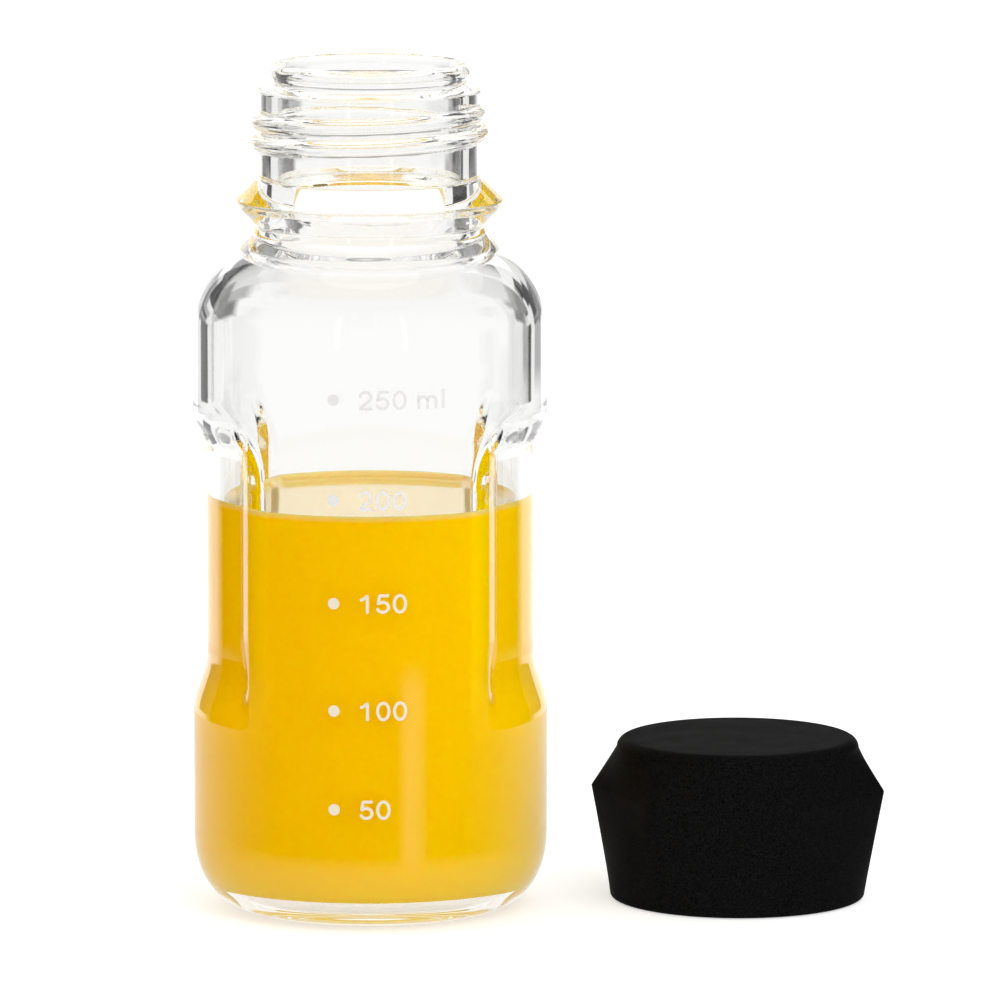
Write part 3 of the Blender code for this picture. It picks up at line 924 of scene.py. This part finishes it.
def azimuth_curve(nodes, links, azimuth, stops):
    """A share of CURVE_TOP by azimuth, from stops of (degrees from the front, value)."""
    curve = nodes.new("ShaderNodeFloatCurve")
    points = curve.mapping.curves[0].points
    while len(points) < len(stops):
        points.new(0.5, 0.5)
    for point, (degrees, value) in zip(points, stops):
        point.location = (degrees / 360.0 + 0.5, value / CURVE_TOP)
        point.handle_type = "VECTOR"
    curve.mapping.update()
    links.new(azimuth, curve.inputs["Value"])
    return curve.outputs["Value"]


def graded(name, low_stops, high_stops, low, high, seen=None):
    """Light by the azimuth of a stage wall's own points, one curve under the height low, another over high.

    With seen, the curves are its light on the juice, and seen is what shows through the glass low and high.
    """
    made, nodes, links, light = emission(name)
    place = nodes.new("ShaderNodeTexCoord")
    split = nodes.new("ShaderNodeSeparateXYZ")
    links.new(place.outputs["Object"], split.inputs["Vector"])
    forward = nodes.new("ShaderNodeMath")
    forward.operation = "MULTIPLY"
    forward.inputs[1].default_value = -1.0
    links.new(split.outputs["Y"], forward.inputs[0])
    away = nodes.new("ShaderNodeMath")
    away.operation = "ARCTAN2"
    links.new(split.outputs["X"], away.inputs[0])
    links.new(forward.outputs["Value"], away.inputs[1])
    azimuth = nodes.new("ShaderNodeMapRange")
    azimuth.inputs["From Min"].default_value = -math.pi
    azimuth.inputs["From Max"].default_value = math.pi
    links.new(away.outputs["Value"], azimuth.inputs["Value"])
    rise = nodes.new("ShaderNodeMapRange")
    rise.interpolation_type = "SMOOTHSTEP"
    rise.inputs["From Min"].default_value = low
    rise.inputs["From Max"].default_value = high
    links.new(split.outputs["Z"], rise.inputs["Value"])
    mix = nodes.new("ShaderNodeMix")
    links.new(rise.outputs["Result"], mix.inputs[0])
    links.new(azimuth_curve(nodes, links, azimuth.outputs["Result"], low_stops), mix.inputs[2])
    links.new(azimuth_curve(nodes, links, azimuth.outputs["Result"], high_stops), mix.inputs[3])
    scale = nodes.new("ShaderNodeMath")
    scale.operation = "MULTIPLY"
    scale.inputs[1].default_value = CURVE_TOP
    links.new(mix.outputs[0], scale.inputs[0])
    if seen is None:
        links.new(scale.outputs["Value"], light.inputs["Strength"])
        return made
    shown = nodes.new("ShaderNodeMix")
    links.new(rise.outputs["Result"], shown.inputs[0])
    shown.inputs[2].default_value, shown.inputs[3].default_value = seen
    links.new(shown.outputs[0], light.inputs["Strength"])
    warm, white = WARM_TO_WHITE
    tint = ramp(nodes, links, azimuth.outputs["Result"], [(warm, WARM_LIGHT), (white, WHITE_LIGHT)])
    light_the_juice(nodes, links, light, scale.outputs["Value"], tint)
    return made


def fading(name, full, gone):
    """White light that is full inside the radius full and clear outside the radius gone."""
    made, nodes, links, _ = emission(name)
    place = nodes.new("ShaderNodeTexCoord")
    distance = nodes.new("ShaderNodeVectorMath")
    distance.operation = "LENGTH"
    links.new(place.outputs["Object"], distance.inputs[0])
    share = nodes.new("ShaderNodeMapRange")
    share.inputs["From Min"].default_value = gone
    share.inputs["From Max"].default_value = full
    links.new(distance.outputs["Value"], share.inputs["Value"])
    faded(nodes, links, share.outputs["Result"])
    return made


def mirrored(stops):
    """Stops of the right side as stops of the left side."""
    return [(-degrees, value) for degrees, value in reversed(stops)]


def make_stage():
    """A pale floor, white surroundings, and the studio's lights and dark cards."""
    world = bpy.data.worlds.new("studio")
    bpy.context.scene.world = world
    world.use_nodes = True
    background = world.node_tree.nodes["Background"]
    background.inputs["Color"].default_value = (1.0, 1.0, 1.0, 1.0)
    background.inputs["Strength"].default_value = 1.0

    half = FLOOR_HALF_SIZE
    corners = [(-half, -half, 0), (half, -half, 0), (half, half, 0), (-half, half, 0)]
    mesh = bpy.data.meshes.new("floor")
    mesh.from_pydata(corners, [], [(0, 1, 2, 3)])
    mesh.transform(Matrix.Translation((0.0, 0.0, FLOOR_LEVEL)))
    shades = material(
        "pale_floor", Base_Color=(0.62, 0.62, 0.62, 1.0), Roughness=0.9,
        Emission_Color=(1.0, 1.0, 1.0, 1.0), Emission_Strength=0.54, Specular_IOR_Level=0.0)[0]
    floor = put("floor", mesh, shades)
    floor.visible_glossy = False

    shades = graded("reflections", mirrored(REFLECTED_LEFT) + REFLECTED_RIGHT,
                    mirrored(REFLECTED_ABOVE) + REFLECTED_ABOVE, *REFLECTED_CHANGE)
    wall_strip("studio_reflections", REFLECTED_RADIUS, -180, 180, *REFLECTED_HEIGHTS,
               WALL_COLUMNS, shades, "glossy")

    shades = graded("surround", LIGHT_ON_JUICE, LIGHT_ON_JUICE, *SURROUND_CHANGE, SURROUND_SEEN)
    wall_strip("studio_surround", SURROUND_RADIUS, -180, 180, 0.0, SURROUND_TOP,
               WALL_COLUMNS, shades, "transmission")
    for index, (name, start, end, low, high, strength) in enumerate(CARDS):
        shades, nodes, links, light = emission(name, strength)
        light_the_juice(nodes, links, light, CARD_LIGHT)
        radius = CARD_RADIUS - CARD_STEP * index
        if end - start == 360:
            wall_strip(name, radius, start, end, low, high, RING_COLUMNS, shades, "transmission")
            continue
        share = nodes.new("ShaderNodeAttribute")
        share.attribute_name = "share"
        faded(nodes, links, share.outputs["Fac"])
        soft_card(name, radius, start, end, low, high, shades, "transmission")
    for name, start, end, low, high, strength in SHEENS:
        shades = emission(name, strength)[0]
        wall_strip(name, SHEEN_RADIUS, start, end, low, high, SHEEN_COLUMNS, shades, "glossy")

    disc("sheet", SHEET_RADIUS, FLOOR_LEVEL, fading("sheet", SHEET_FADE_START, SHEET_RADIUS), "glossy")
    shades, nodes, links, light = emission("studio_top")
    light_the_juice(nodes, links, light, TOP_LIGHT, TOP_LIGHT_COLOUR)
    disc("studio_top", SURROUND_RADIUS, SURROUND_TOP, shades, "transmission")

    key = bpy.data.lights.new("key", "AREA")
    key.shape = "DISK"
    key.size = KEY_SIZE
    key.energy = KEY_POWER
    lamp = put("key", key)
    lamp.location = KEY_PLACE
    lamp.rotation_euler = (Vector(KEY_TARGET) - lamp.location).to_track_quat("-Z", "Y").to_euler()
    lamp.visible_camera = False


def make_camera():
    """The camera at the photo's viewing angle."""
    camera = bpy.data.cameras.new("camera")
    camera.lens = CAMERA_LENS
    camera.sensor_width = CAMERA_SENSOR
    camera.sensor_fit = "HORIZONTAL"
    camera.clip_start, camera.clip_end = CAMERA_CLIP
    piece = put("camera", camera)
    piece.location = CAMERA_PLACE
    piece.rotation_euler = (math.radians(90) - CAMERA_DROP, 0.0, 0.0)
    bpy.context.scene.camera = piece


make_pieces()
make_stage()
make_camera()
scene = bpy.context.scene
scene.view_settings.view_transform = "Standard"
scene.cycles.max_bounces = LIGHT_BOUNCES
scene.cycles.glossy_bounces = LIGHT_BOUNCES
scene.cycles.transmission_bounces = LIGHT_BOUNCES
